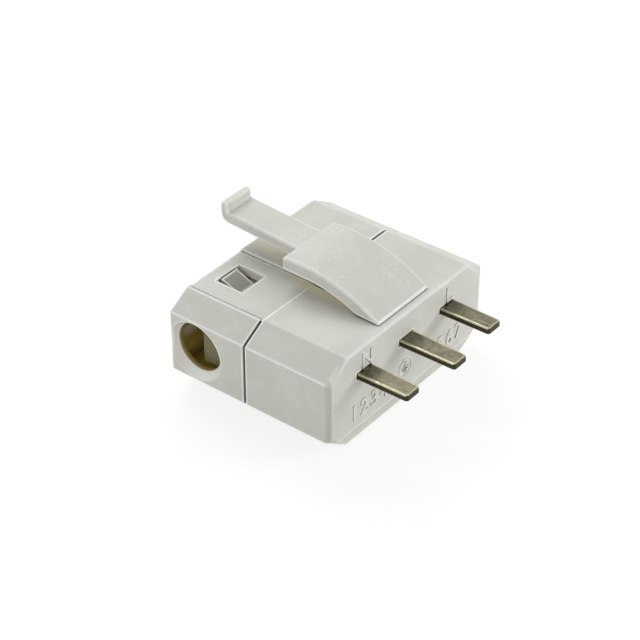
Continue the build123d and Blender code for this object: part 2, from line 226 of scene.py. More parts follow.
class MarkSettings(PropertyGroup):
    """Letters, numbers and the earth sign raised on the front face."""

    letter_height: FloatProperty(
        name="Letter height",
        description="Height of the N and L beside the blades",
        unit="LENGTH",
        subtype="DISTANCE",
        default=2.6 * MM,
        min=1 * MM,
        max=4 * MM,
        precision=6,
    )
    number_height: FloatProperty(
        name="Number height",
        description="Height of the numbers under the blades",
        unit="LENGTH",
        subtype="DISTANCE",
        default=2.8 * MM,
        min=1 * MM,
        max=4 * MM,
        precision=6,
    )
    relief: FloatProperty(
        name="Relief",
        description="How far the marks stand out of the front face",
        unit="LENGTH",
        subtype="DISTANCE",
        default=0.2 * MM,
        min=0.05 * MM,
        max=0.5 * MM,
        precision=6,
    )
    numbers: StringProperty(
        name="Numbers",
        description="Plain numbers in the row under the blades, with a space where none stands",
        default="1234     567",
    )


class SpringSettings(PropertyGroup):
    """The wound spring under the lever's plate."""

    turns: FloatProperty(
        name="Turns",
        description="All turns of the spring, with its closed ends",
        default=6.0,
        min=3,
        max=12,
    )
    closed_turns: FloatProperty(
        name="Closed turns",
        description="Turns at each end that lie flat",
        default=0.8,
        min=0,
        max=2,
    )
    keep: FloatProperty(
        name="Pressed share",
        description="Share of the spring's height that is left when the lever is pressed",
        subtype="FACTOR",
        default=0.8,
        min=0.1,
        max=1,
    )
    wire_sides: IntProperty(
        name="Wire sides",
        description="Faces round the wire",
        default=16,
        min=6,
        max=32,
    )


class StageSettings(PropertyGroup):
    """Floor, lamps and camera."""

    key: FloatProperty(
        name="Key lamp",
        description="Level of the lamp at the front right",
        default=0.30,
        min=0,
    )
    card: FloatProperty(
        name="Front card",
        description="Level of the low, wide light in front",
        default=0.27,
        min=0,
    )
    fill: FloatProperty(
        name="Fill lamp",
        description="Level of the low lamp at the left",
        default=0.32,
        min=0,
    )
    top: FloatProperty(
        name="Top lamp",
        description="Level of the high lamp at the back right",
        default=0.54,
        min=0,
    )
    ambient: FloatProperty(
        name="Ambient",
        description="Level of the light from all round",
        default=0.44,
        min=0,
    )
    lens: FloatProperty(
        name="Lens",
        description="Focal length of the camera, in millimetres",
        default=112.666,
        min=20,
        max=300,
    )


def add_node(tree, kind, place, **values):
    """Adds a node of a kind at a place. Named values set its properties, or its sockets' defaults."""
    node = tree.nodes.new(kind)
    node.location = place
    for name, value in values.items():
        if hasattr(node, name):
            setattr(node, name, value)
        else:
            node.inputs[name.replace("_", " ")].default_value = value
    return node


def arithmetic(tree, operation, first, second, place, clamp=False):
    """Math node whose inputs are sockets or numbers. Gives its output socket."""
    node = add_node(tree, "ShaderNodeMath", place, operation=operation, use_clamp=clamp)
    for socket, value in zip(node.inputs, (first, second)):
        if isinstance(value, (int, float)):
            socket.default_value = value
        else:
            tree.links.new(value, socket)
    return node.outputs["Value"]


def remap(tree, value, low, high, new_low, new_high, place):
    """Smooth step from low..high to new_low..new_high, held at its ends."""
    node = add_node(tree, "ShaderNodeMapRange", place, interpolation_type="SMOOTHSTEP")
    ends = {"From Min": low, "From Max": high, "To Min": new_low, "To Max": new_high}
    for name, number in ends.items():
        node.inputs[name].default_value = number
    tree.links.new(value, node.inputs["Value"])
    return node.outputs["Result"]


def seen_rays(tree, x):
    """Mask that is 1 for camera, glossy and transmission rays, and 0 for the rays that light the plug."""
    rays = add_node(tree, "ShaderNodeLightPath", (x, 0)).outputs
    direct = arithmetic(tree, "ADD", rays["Is Camera Ray"], rays["Is Glossy Ray"], (x + 200, 0))
    return arithmetic(tree, "ADD", direct, rays["Is Transmission Ray"], (x + 350, -100), clamp=True)


def new_group(name, inputs, outputs):
    """Shader node group with float inputs {name: default} and outputs {name: socket type}."""
    group = bpy.data.node_groups.new(name, "ShaderNodeTree")
    for label, default in inputs.items():
        socket = group.interface.new_socket(name=label, in_out="INPUT", socket_type="NodeSocketFloat")
        socket.default_value = default
    for label, kind in outputs.items():
        group.interface.new_socket(name=label, in_out="OUTPUT", socket_type=kind)
    source = add_node(group, "NodeGroupInput", (-1400, 0))
    sink = add_node(group, "NodeGroupOutput", (900, 0))
    return group, source, sink


def spark_grain_group():
    """Fine pitted mould texture: two sizes of noise with soft pits, and the fine noise's light specks for
    painted glints.
    """
    group, source, sink = new_group(
        "Spark grain",
        {"Frequency": 6000.0},
        {"Height": "NodeSocketFloat", "Glint speckle": "NodeSocketFloat"},
    )
    links = group.links
    place = add_node(group, "ShaderNodeTexCoord", (-1200, 200))
    fine = add_node(group, "ShaderNodeTexNoise", (-800, 200), Detail=2.0, Roughness=0.6)
    coarse = add_node(group, "ShaderNodeTexNoise", (-800, -50), Detail=1.0, Roughness=0.5)
    pits = add_node(group, "ShaderNodeTexVoronoi", (-800, -300), feature="SMOOTH_F1")
    for texture, share in ((fine, 1.0), (coarse, 0.3), (pits, 0.55)):
        links.new(place.outputs["Object"], texture.inputs["Vector"])
        scale = arithmetic(group, "MULTIPLY", source.outputs["Frequency"], share, (-1000, -100))
        links.new(scale, texture.inputs["Scale"])
    rough = arithmetic(group, "MULTIPLY", fine.outputs["Fac"], 0.6, (-550, 200))
    wave = arithmetic(group, "MULTIPLY", coarse.outputs["Fac"], 0.5, (-550, 0))
    pit = remap(group, pits.outputs["Distance"], 0.0, 0.45, -0.25, 0.0, (-550, -300))
    waved = arithmetic(group, "ADD", rough, wave, (-300, 100))
    links.new(arithmetic(group, "ADD", waved, pit, (-100, 0)), sink.inputs["Height"])
    # Light specks of the fine noise, painted as glints on the grain
    speckle = remap(group, fine.outputs["Fac"], 0.56, 0.70, 0.0, 1.0, (200, -250))
    links.new(speckle, sink.inputs["Glint speckle"])
    return group


def edge_group():
    """Rubbed edges and painted edge highlights: where the solid is thin just behind the surface, broken up
    by noise.
    """
    group, source, sink = new_group(
        "Edge wear and highlight",
        {"Reach": 0.4 * MM, "Break up": 0.5},
        {"Mask": "NodeSocketFloat"},
    )
    links = group.links
    behind = add_node(group, "ShaderNodeAmbientOcclusion", (-1000, 100), samples=8, inside=True)
    links.new(source.outputs["Reach"], behind.inputs["Distance"])
    thin = remap(group, behind.outputs["AO"], 0.985, 0.89, 0.0, 1.0, (-500, 100))
    place = add_node(group, "ShaderNodeTexCoord", (-1000, -300))
    noise = add_node(group, "ShaderNodeTexNoise", (-750, -300), Scale=900.0, Detail=4.0)
    links.new(place.outputs["Object"], noise.inputs["Vector"])
    patches = remap(group, noise.outputs["Fac"], 0.35, 0.6, 0.0, 1.0, (-500, -300))
    loss = arithmetic(group, "MULTIPLY", patches, source.outputs["Break up"], (-250, -300))
    kept = arithmetic(group, "SUBTRACT", thin, loss, (0, 0), clamp=True)
    links.new(kept, sink.inputs["Mask"])
    return group


def crevice_group():
    """Masks for painted shade in narrow gaps and painted bounce light in deep hollows, from how much open
    room each point sees near by and farther off.
    """
    group, source, sink = new_group(
        "Crevice shade and glow",
        {"Gap reach": 0.75 * MM, "Hollow reach": 8.0 * MM},
        {"Gap": "NodeSocketFloat", "Hollow": "NodeSocketFloat"},
    )
    for label, reach, closed, open_share, height in (
        ("Gap", "Gap reach", 0.34, 0.66, 200),
        ("Hollow", "Hollow reach", 0.15, 0.48, -200),
    ):
        sky = add_node(group, "ShaderNodeAmbientOcclusion", (-900, height), samples=8)
        group.links.new(source.outputs[reach], sky.inputs["Distance"])
        mask = remap(group, sky.outputs["AO"], closed, open_share, 1.0, 0.0, (-500, height))
        group.links.new(mask, sink.inputs[label])
    return group


def box_mask(group, parts, ranges):
    """Mask that is 1 in a box with soft sides. Ranges hold an axis, where it is 0 and where it is 1."""
    mask = 1.0
    for number, (axis, none, full) in enumerate(ranges):
        side = remap(group, parts.outputs[axis], none, full, 0.0, 1.0, (-600, -200 * number))
        mask = arithmetic(group, "MULTIPLY", side, mask, (-300 + 150 * number, -200 * number))
    return mask


def boxed_tint_group():
    """Where painted shade, painted highlights and a browner tone go, as boxes with soft sides.

    Inner brown is inside the rear cover, where the colour is made browner. Seam shade is painted
    shade: a dark line along the tongue's left edge and a faint strip left of the front panel. Highlight
    rim is painted highlight on the lower edge of the front panel, the ridges at the foot of the upper
    bevels, and the lower front part of the cord mouth.
    """
    outputs = {"Inner brown": "NodeSocketFloat", "Seam": "NodeSocketFloat", "Highlight rim": "NodeSocketFloat"}
    group, _, sink = new_group("Boxed shade, highlight and brown", {}, outputs)
    place = add_node(group, "ShaderNodeTexCoord", (-1200, 0))
    parts = add_node(group, "ShaderNodeSeparateXYZ", (-1000, 0))
    group.links.new(place.outputs["Object"], parts.inputs["Vector"])
    low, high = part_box("rear_cover")
    # A browner tone inside the rear cover
    inside = box_mask(group, parts, (
        ("X", low.x + 0.5 * MM, low.x + 1.5 * MM),
        ("X", high.x - 0.5 * MM, high.x - 1.5 * MM),
        ("Y", low.y - 1.0 * MM, low.y),
        ("Y", high.y - 0.4 * MM, high.y - 0.9 * MM),
        ("Z", INSIDE_TOP + 0.5 * MM, INSIDE_TOP),
        ("Z", INSIDE_BOTTOM - 0.5 * MM, INSIDE_BOTTOM),
    ))
    # Painted shade: a dark line along the tongue's left edge
    line = box_mask(group, parts, (
        ("X", TONGUE_LEFT + 0.44 * MM, TONGUE_LEFT + 0.28 * MM),
        ("X", TONGUE_LEFT - 0.02 * MM, TONGUE_LEFT),
        ("Y", low.y, low.y + 0.2 * MM),
        ("Z", 15.0 * MM, 15.5 * MM),
    ))
    # Painted shade: a faint dark strip left of the front panel
    strip = box_mask(group, parts, (
        ("X", -PANEL_HALF + 0.1 * MM, -PANEL_HALF - 0.1 * MM),
        ("Y", FRONT_Y + 0.9 * MM, FRONT_Y + 0.6 * MM),
    ))
    faint = arithmetic(group, "MULTIPLY", strip, 0.3, (300, -900))
    seam_shade = arithmetic(group, "MAXIMUM", line, faint, (400, -700))
    # Painted highlights: the lower edge of the front panel, then the foot of each upper bevel and the lower
    # front of the cord mouth
    highlight_rim = box_mask(group, parts, (
        ("Y", FRONT_Y + 0.2 * MM, FRONT_Y + 0.1 * MM),
        ("Z", PANEL_FOOT - 0.14 * MM, PANEL_FOOT - 0.04 * MM),
        ("Z", PANEL_FOOT + 0.14 * MM, PANEL_FOOT + 0.04 * MM),
    ))
    for edge, inner in ((cad_low.x, 0.1 * MM), (cad_high.x, -0.1 * MM)):
        ridge = box_mask(group, parts, (
            ("X", edge + 2 * inner, edge + inner),
            ("Z", BEVEL_FOOT - 0.2 * MM, BEVEL_FOOT - 0.08 * MM),
            ("Z", BEVEL_FOOT + 0.2 * MM, BEVEL_FOOT + 0.08 * MM),
        ))
        highlight_rim = arithmetic(group, "MAXIMUM", highlight_rim, ridge, (400, -1100))
    mouth = box_mask(group, parts, (
        ("X", low.x + 0.02 * MM, low.x + 0.06 * MM),
        ("X", low.x + 0.80 * MM, low.x + 0.76 * MM),
        ("Y", MOUTH_Y - 5.4 * MM, MOUTH_Y - 5.2 * MM),
        ("Y", MOUTH_Y + 4.8 * MM, MOUTH_Y - 1.2 * MM),
        ("Z", MOUTH_Z - 6.1 * MM, MOUTH_Z - 5.9 * MM),
        ("Z", MOUTH_Z + 1.4 * MM, MOUTH_Z - 1.6 * MM),
    ))
    highlight_rim = arithmetic(group, "MAXIMUM", highlight_rim, mouth, (500, -1300))
    for mask, label in ((inside, "Inner brown"), (seam_shade, "Seam"), (highlight_rim, "Highlight rim")):
        group.links.new(mask, sink.inputs[label])
    return group


def mottle_group():
    """Slow cloudy variation of a moulding's shade and gloss, with a few small specks."""
    group, source, sink = new_group(
        "Mottle",
        {"Frequency": 160.0, "Speck share": 0.5},
        {"Cloud": "NodeSocketFloat", "Speck": "NodeSocketFloat"},
    )
    links = group.links
    place = add_node(group, "ShaderNodeTexCoord", (-1200, 0))
    cloud = add_node(group, "ShaderNodeTexNoise", (-900, 200), Detail=5.0, Roughness=0.62)
    links.new(place.outputs["Object"], cloud.inputs["Vector"])
    links.new(source.outputs["Frequency"], cloud.inputs["Scale"])
    speck = add_node(group, "ShaderNodeTexVoronoi", (-900, -200), Scale=620.0)
    links.new(place.outputs["Object"], speck.inputs["Vector"])
    dots = remap(group, speck.outputs["Distance"], 0.16, 0.05, 0.0, 1.0, (-600, -200))
    chosen = add_node(group, "ShaderNodeSeparateColor", (-600, -450))
    links.new(speck.outputs["Color"], chosen.inputs["Color"])
    rare = remap(group, chosen.outputs["Red"], 0.90, 0.93, 0.0, 1.0, (-350, -450))
    specks = arithmetic(group, "MULTIPLY", dots, rare, (-100, -300))
    amount = arithmetic(group, "MULTIPLY", specks, source.outputs["Speck share"], (150, -300))
    links.new(remap(group, cloud.outputs["Fac"], 0.3, 0.7, 0.0, 1.0, (-300, 200)), sink.inputs["Cloud"])
    links.new(amount, sink.inputs["Speck"])
    return group


def scratch_group():
    """Rubbed metal: long thin scratches mostly along Y, a few slanting ones, and dull blotches."""
    group, source, sink = new_group(
        "Scratches",
        {"Frequency": 2500.0, "Blotch frequency": 900.0},
        {"Line": "NodeSocketFloat", "Blotch": "NodeSocketFloat"},
    )
    links = group.links
    place = add_node(group, "ShaderNodeTexCoord", (-1300, 0))
    masks = []
    for number, (turn, stretch, low, high) in enumerate(
        ((0.06, 0.035, 0.60, 0.70), (0.55, 0.05, 0.66, 0.74), (-0.8, 0.06, 0.67, 0.75))
    ):
        height = 400 - 300 * number
        mapping = add_node(group, "ShaderNodeMapping", (-1050, height))
        mapping.inputs["Rotation"].default_value = (0.0, 0.0, turn)
        mapping.inputs["Scale"].default_value = (1.0, stretch, 1.0)
        noise = add_node(group, "ShaderNodeTexNoise", (-800, height), Detail=3.0, Roughness=0.7)
        links.new(place.outputs["Object"], mapping.inputs["Vector"])
        links.new(mapping.outputs["Vector"], noise.inputs["Vector"])
        links.new(source.outputs["Frequency"], noise.inputs["Scale"])
        masks.append(remap(group, noise.outputs["Fac"], low, high, 0.0, 1.0, (-550, height)))
    crossed = arithmetic(group, "MAXIMUM", masks[1], masks[2], (-250, -100))
    lines = arithmetic(group, "MAXIMUM", masks[0], crossed, (0, 100))
    blotch = add_node(group, "ShaderNodeTexNoise", (-800, -600), Detail=6.0, Roughness=0.68)
    links.new(place.outputs["Object"], blotch.inputs["Vector"])
    links.new(source.outputs["Blotch frequency"], blotch.inputs["Scale"])
    dull = remap(group, blotch.outputs["Fac"], 0.32, 0.68, 0.0, 1.0, (-500, -600))
    links.new(lines, sink.inputs["Line"])
    links.new(dull, sink.inputs["Blotch"])
    return group


GROUP_MAKERS = {
    "Spark grain": spark_grain_group,
    "Edge wear and highlight": edge_group,
    "Crevice shade and glow": crevice_group,
    "Boxed shade, highlight and brown": boxed_tint_group,
    "Mottle": mottle_group,
    "Scratches": scratch_group,
}


def place_group(tree, name, place, **values):
    """Puts a shared node group in a material, made on its first use."""
    node = tree.nodes.new("ShaderNodeGroup")
    node.node_tree = bpy.data.node_groups.get(name) or GROUP_MAKERS[name]()
    node.location = place
    for label, value in values.items():
        node.inputs[label.replace("_", " ")].default_value = value
    return node


def shade(tree, amount, base, other, place):
    """Mix of two colours by a mask. Either colour is a socket or three numbers."""
    node = add_node(tree, "ShaderNodeMix", place, data_type="RGBA")
    sockets = [s for s in node.inputs if s.type == "RGBA"]
    for socket, colour in zip(sockets, (base, other)):
        if isinstance(colour, bpy.types.NodeSocket):
            tree.links.new(colour, socket)
        else:
            socket.default_value = (*colour, 1.0)
    factor = next(s for s in node.inputs if s.name == "Factor" and s.type == "VALUE")
    if isinstance(amount, (int, float)):
        factor.default_value = amount
    else:
        tree.links.new(amount, factor)
    return next(s for s in node.outputs if s.type == "RGBA")


def scaled(colour, factor):
    """Colour made lighter or darker, held between 0 and 1."""
    return tuple(min(1.0, max(0.0, part * factor)) for part in colour)


def new_material(name):
    """Material with nodes whose Principled shader comes back with its tree."""
    material = bpy.data.materials.new(name)
    material.use_nodes = True
    tree = material.node_tree
    return material, tree, tree.nodes["Principled BSDF"]


def bump(tree, shader, height, distance, place):
    """Feeds a height into the shader's normal, as relief of a real depth in metres."""
    node = add_node(tree, "ShaderNodeBump", place, Distance=distance, Strength=1.0)
    tree.links.new(height, node.inputs["Height"])
    tree.links.new(node.outputs["Normal"], shader.inputs["Normal"])


def moulded_plastic(
    name, colour, grain_size, depth, roughness, glint_flecks=0.75, wear_and_highlight=0.9, inside_brown=(0.36, 0.25, 0.05)
):
    """Moulded plastic with a cloudy shade, light specks as painted glints, rubbed edges with painted
    highlights, painted shade in gaps, painted bounce light in hollows and a fine relief.

    Depth is the relief's depth, glint_flecks and wear_and_highlight are shares of their masks, and
    inside_brown is the browner colour given to the inside of the rear cover.
    """
    material, tree, shader = new_material(name)
    mottle = place_group(tree, "Mottle", (-1100, 300), Speck_share=0.25)
    edges = place_group(tree, "Edge wear and highlight", (-1100, 0), Reach=0.36 * MM, Break_up=0.25)
    grain = place_group(tree, "Spark grain", (-1100, -350), Frequency=1 / grain_size)
    crevice = place_group(tree, "Crevice shade and glow", (-1100, 600))
    boxed = place_group(tree, "Boxed shade, highlight and brown", (-1100, 850))
    clouded = shade(tree, mottle.outputs["Cloud"], scaled(colour, 0.96), scaled(colour, 1.02), (-750, 300))
    specked = shade(tree, mottle.outputs["Speck"], clouded, scaled(colour, 0.6), (-500, 300))
    # Painted glints: light specks on the grain, thinned out where the cloud is dark
    patchy = remap(tree, mottle.outputs["Cloud"], 0.3, 0.9, 0.15, 1.0, (-900, 100))
    glint = arithmetic(tree, "MULTIPLY", grain.outputs["Glint speckle"], patchy, (-750, -150))
    share = arithmetic(tree, "MULTIPLY", glint, glint_flecks, (-500, -100))
    glinted = shade(tree, share, specked, WORN_AND_HIGHLIT, (-300, 250))
    # Painted highlights on the edges and on the boxed rims, mixed with rubbed plastic
    ridges = arithmetic(tree, "MAXIMUM", edges.outputs["Mask"], boxed.outputs["Highlight rim"], (-900, 0))
    rubbed_and_highlit = arithmetic(tree, "MULTIPLY", ridges, wear_and_highlight, (-750, 50))
    worn_and_highlit = shade(tree, rubbed_and_highlit, glinted, WORN_AND_HIGHLIT, (-100, 250))
    # Painted bounce light: deep hollows made lighter and warmer
    glow_colour = tuple(part * tint for part, tint in zip(colour, HOLLOW_GLOW))
    hollow_glowing = shade(tree, crevice.outputs["Hollow"], worn_and_highlit, glow_colour, (100, 250))
    # The inside of the rear cover made browner
    browned = shade(tree, boxed.outputs["Inner brown"], hollow_glowing, inside_brown, (300, 250))
    # Painted shade: dark lines in narrow gaps and along the seams
    lines = arithmetic(tree, "MAXIMUM", crevice.outputs["Gap"], boxed.outputs["Seam"], (-100, 500))
    narrow = arithmetic(tree, "MULTIPLY", lines, 0.9, (100, 500))
    tree.links.new(shade(tree, narrow, browned, PAINTED_GAP_SHADE, (500, 250)), shader.inputs["Base Color"])
    shader.inputs["Specular IOR Level"].default_value = 0.28
    matt = remap(tree, mottle.outputs["Cloud"], 0.0, 1.0, roughness + 0.04, roughness - 0.04, (-500, 0))
    polished = arithmetic(tree, "MULTIPLY", edges.outputs["Mask"], 0.12, (-500, -200))
    tree.links.new(arithmetic(tree, "SUBTRACT", matt, polished, (-250, 0)), shader.inputs["Roughness"])
    bump(tree, shader, grain.outputs["Height"], depth, (-250, -350))
    return material


def plated_metal(name, flat, sheared_dark_reflection, roughness):
    """Nickel plated strip: clouded flats with scratches, and upright faces in the dull colour of cut edges,
    darker still as a painted dark reflection.
    """
    material, tree, shader = new_material(name)
    shader.inputs["Metallic"].default_value = 1.0
    marks = place_group(tree, "Scratches", (-1200, 300))
    edges = place_group(tree, "Edge wear and highlight", (-1200, 0), Reach=0.3 * MM, Break_up=0.2)
    crevice = place_group(tree, "Crevice shade and glow", (-1200, 600))
    cloud = shade(tree, marks.outputs["Blotch"], scaled(flat, 0.84), scaled(flat, 1.14), (-850, 300))
    line = arithmetic(tree, "MULTIPLY", marks.outputs["Line"], 0.55, (-850, 100))
    lined = shade(tree, line, cloud, scaled(flat, 2.1), (-600, 300))
    # Upright and front-facing faces get the dark cut-edge colour, partly their dull finish and partly a
    # painted dark reflection
    geometry = add_node(tree, "ShaderNodeNewGeometry", (-1200, -300))
    parts = add_node(tree, "ShaderNodeSeparateXYZ", (-1000, -300))
    tree.links.new(geometry.outputs["True Normal"], parts.inputs["Vector"])
    steep = arithmetic(tree, "ABSOLUTE", parts.outputs["Z"], 0.0, (-800, -300))
    side = remap(tree, steep, 0.35, 0.15, 0.0, 1.0, (-600, -300))
    front = arithmetic(tree, "ABSOLUTE", parts.outputs["Y"], 0.0, (-800, -450))
    tip = remap(tree, front, 0.35, 0.65, 0.0, 1.0, (-600, -500))
    upright = arithmetic(tree, "MAXIMUM", side, tip, (-450, -400))
    cut = shade(tree, marks.outputs["Line"], sheared_dark_reflection, scaled(sheared_dark_reflection, 1.9), (-600, 0))
    both = shade(tree, upright, lined, cut, (-350, 200))
    # Painted highlight along the edges of the flat faces
    lit = arithmetic(tree, "SUBTRACT", edges.outputs["Mask"], upright, (-450, -50), clamp=True)
    highlight_share = arithmetic(tree, "MULTIPLY", lit, 0.85, (-350, -50))
    edge_highlit = shade(tree, highlight_share, both, scaled(flat, 5.5), (-150, 200))
    # Painted shade in narrow gaps, as round the blade roots
    narrow = arithmetic(tree, "MULTIPLY", crevice.outputs["Gap"], 0.9, (-150, 450))
    tree.links.new(shade(tree, narrow, edge_highlit, PAINTED_GAP_SHADE, (50, 250)), shader.inputs["Base Color"])
    dull = remap(tree, marks.outputs["Blotch"], 0.0, 1.0, roughness - 0.05, roughness + 0.09, (-350, -250))
    cut_gloss = arithmetic(tree, "MULTIPLY", upright, 0.12, (-350, -450))
    tree.links.new(arithmetic(tree, "ADD", dull, cut_gloss, (-150, -250)), shader.inputs["Roughness"])
    swell = arithmetic(tree, "MULTIPLY", marks.outputs["Blotch"], 0.5, (-600, -600))
    relief = arithmetic(tree, "SUBTRACT", swell, marks.outputs["Line"], (-350, -600))
    bump(tree, shader, relief, 0.002 * MM, (-150, -600))
    return material


def plain_metal(name, colour, roughness, frequency, relief):
    """Drawn or turned metal: streaks along its length, blotches of tarnish and brighter edges, partly
    rubbed metal and partly painted highlight.
    """
    material, tree, shader = new_material(name)
    shader.inputs["Metallic"].default_value = 1.0
    marks = place_group(tree, "Scratches", (-1000, 300), Frequency=frequency)
    edges = place_group(tree, "Edge wear and highlight", (-1000, 0), Reach=0.2 * MM, Break_up=0.3)
    cloud = shade(tree, marks.outputs["Blotch"], scaled(colour, 0.74), scaled(colour, 1.05), (-650, 300))
    line = arithmetic(tree, "MULTIPLY", marks.outputs["Line"], 0.5, (-650, 100))
    lined = shade(tree, line, cloud, scaled(colour, 0.55), (-400, 300))
    # Lighter edges: partly rubbed metal, partly painted highlight
    highlight_share = arithmetic(tree, "MULTIPLY", edges.outputs["Mask"], 0.5, (-400, 0))
    rubbed_and_highlit = shade(tree, highlight_share, lined, scaled(colour, 1.25), (-200, 300))
    tree.links.new(rubbed_and_highlit, shader.inputs["Base Color"])
    dull = remap(tree, marks.outputs["Blotch"], 0.0, 1.0, roughness + 0.1, roughness - 0.04, (-400, -200))
    tree.links.new(dull, shader.inputs["Roughness"])
    bump(tree, shader, marks.outputs["Line"], relief, (-200, -400))
    return material


def finish_nodes(names, material):
    """Gives CAD nodes a finish in place of the plain one that they came with."""
    for name in names:
        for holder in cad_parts[name].material_slots:
            holder.link = "OBJECT"
            holder.material = material


def mesh_piece(name, points, faces, material, body, slot):
    """New piece from whole arrays of points and faces, riding on a body; the slot is not used."""
    mesh = bpy.data.meshes.new(name)
    mesh.from_pydata(points.reshape(-1, 3).tolist(), [], faces.tolist())
    mesh.update()
    piece = bpy.data.objects.new(name, mesh)
    bpy.context.scene.collection.objects.link(piece)
    mesh.materials.append(material)
    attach(piece, body)
    return piece


def tube_faces(rings, sides, closed):
    """Faces of a grid of rings: each point joins the next one round and the same ones of the next ring."""
    last = rings if closed else rings - 1
    ring, side = np.meshgrid(np.arange(last), np.arange(sides), indexing="ij")
    after, beside = (ring + 1) % rings, (side + 1) % sides
    corners = (ring * sides + side, ring * sides + beside, after * sides + beside, after * sides + side)
    return np.stack(corners, axis=-1).reshape(-1, 4)


def wound_wire(centre, radius, wire, foot, top, turns, closed_turns, sides):
    """Rings of points round a coil.

    The angle grows evenly. Over the closed turns at each end the height climbs by a wire's width a
    turn, and between them by a straight climb with a little of a smooth step. Each ring is a circle
    square to the coil's line, and what would stand out past the spring's two ends is ground flat.
    """
    count = int(turns * RINGS_PER_TURN) + 1
    turn = np.linspace(0.0, turns, count)
    lift = 2.05 * wire
    climb = np.clip((turn - closed_turns) / (turns - 2 * closed_turns), 0.0, 1.0)
    middle = (top - foot - 2 * lift * closed_turns) * (0.72 * climb + 0.28 * climb**2 * (3 - 2 * climb))
    ends = lift * (np.minimum(turn, closed_turns) + np.maximum(turn - (turns - closed_turns), 0.0))
    height = foot + wire + (middle + ends) * (top - foot - 2 * wire) / (top - foot)
    angle = turn * tau
    outward = np.stack([np.cos(angle), np.sin(angle), np.zeros(count)], axis=1)
    line = np.array(centre) + radius * outward + height[:, None] * np.array((0.0, 0.0, 1.0))
    along = np.gradient(line, axis=0)
    along /= np.linalg.norm(along, axis=1)[:, None]
    upward = np.cross(outward, along)
    upward *= np.sign(upward[:, 2:3])
    around = np.arange(sides) * tau / sides
    rings = (
        line[:, None, :]
        + wire * np.cos(around)[None, :, None] * outward[:, None, :]
        + wire * np.sin(around)[None, :, None] * upward[:, None, :]
    )
    rings[..., 2] = np.clip(rings[..., 2], foot, top)
    return rings


def capped_tube(rings):
    """Points and faces of an open tube, closed at both ends by a point in the middle of each end."""
    count, sides = rings.shape[:2]
    points = np.concatenate([rings.reshape(-1, 3), rings[[0, -1]].mean(axis=1)])
    faces = tube_faces(count, sides, closed=False).tolist()
    side = np.arange(sides)
    beside = (side + 1) % sides
    first, last = count * sides, count * sides + 1
    start = np.stack([beside, side, np.full(sides, first)], axis=1)
    end_ring = (count - 1) * sides
    end = np.stack([end_ring + side, end_ring + beside, np.full(sides, last)], axis=1)
    return points, np.array(faces + start.tolist() + end.tolist(), dtype=object)


class PLUG_OT_mouldings(Operator):
    """Off-white finish of the housing's two shells and of the latch lever"""

    bl_idname = "plug.mouldings"
    bl_label = "Mouldings"

    def execute(self, context):
        finish = context.scene.plug_finish
        colour, grain = tuple(finish.housing), finish.grain_size
        shell = moulded_plastic("housing_white", colour, grain, depth=0.020 * MM, roughness=0.48)
        lever = moulded_plastic("lever_white", colour, grain * 1.1, depth=0.026 * MM, roughness=0.44)
        finish_nodes(("front_housing", "rear_cover"), shell)
        finish_nodes(("latch_lever",), lever)
        return {"FINISHED"}


class PLUG_OT_inner_mouldings(Operator):
    """Finish of the cord clamp and of the terminal carrier"""

    bl_idname = "plug.inner_mouldings"
    bl_label = "Clamp and carrier"

    def execute(self, context):
        finish = context.scene.plug_finish
        grain = finish.grain_size * 2
        clamp = moulded_plastic(
            "clamp_grey",
            tuple(finish.clamp),
            grain,
            depth=0.012 * MM,
            roughness=0.30,
            glint_flecks=0.15,
            wear_and_highlight=0.8,
            inside_brown=(0.17, 0.155, 0.075),
        )
        carrier = moulded_plastic(
            "carrier_grey", tuple(finish.carrier), grain, depth=0.006 * MM, roughness=0.5
        )
        finish_nodes(("cord_clamp",), clamp)
        finish_nodes(("terminal_carrier",), carrier)
        return {"FINISHED"}


class PLUG_OT_blades(Operator):
    """Nickel plated finish of the three blades"""

    bl_idname = "plug.blades"
    bl_label = "Blades"

    def execute(self, context):
        finish = context.scene.plug_finish
        plating = plated_metal("blade_nickel", tuple(finish.plating), tuple(finish.sheared_dark_reflection), roughness=0.30)
        finish_nodes(("blade_neutral", "blade_earth", "blade_live"), plating)
        return {"FINISHED"}


class PLUG_OT_terminals(Operator):
    """Brass terminal cages and their zinc plated screws"""

    bl_idname = "plug.terminals"
    bl_label = "Terminals and screws"

    def execute(self, context):
        finish = context.scene.plug_finish
        brass = plain_metal(
            "terminal_brass", tuple(finish.brass), roughness=0.32, frequency=2600.0, relief=0.003 * MM
        )
        zinc = plain_metal(
            "screw_steel", tuple(finish.zinc), roughness=0.28, frequency=4200.0, relief=0.004 * MM
        )
        for wire in ("neutral", "earth", "live"):
            finish_nodes(("terminal_" + wire,), brass)
            finish_nodes(("screw_" + wire,), zinc)
        return {"FINISHED"}


class PLUG_OT_spring(Operator):
    """Wound spring under the lever's plate, with closed and ground ends"""

    bl_idname = "plug.spring"
    bl_label = "Latch spring"

    def execute(self, context):
        settings = context.scene.plug_spring
        low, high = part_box("latch_spring")
        centre = ((low.x + high.x) / 2, (low.y + high.y) / 2, 0.0)
        rings = wound_wire(
            centre,
            (high.x - low.x) / 2 - SPRING_WIRE,
            SPRING_WIRE,
            low.z,
            high.z,
            settings.turns,
            settings.closed_turns,
            settings.wire_sides,
        )
        points, faces = capped_tube(rings)
        colour = tuple(context.scene.plug_finish.wire)
        drawn = plain_metal("spring_steel", colour, roughness=0.24, frequency=6000.0, relief=0.003 * MM)
        spring = mesh_piece("latch_spring_wound", points, faces, drawn, "housing", "spring_steel")
        spring.data.polygons.foreach_set("use_smooth", np.ones(len(spring.data.polygons), dtype=bool))
        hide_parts("latch_spring")
        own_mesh(spring)
        return {"FINISHED"}


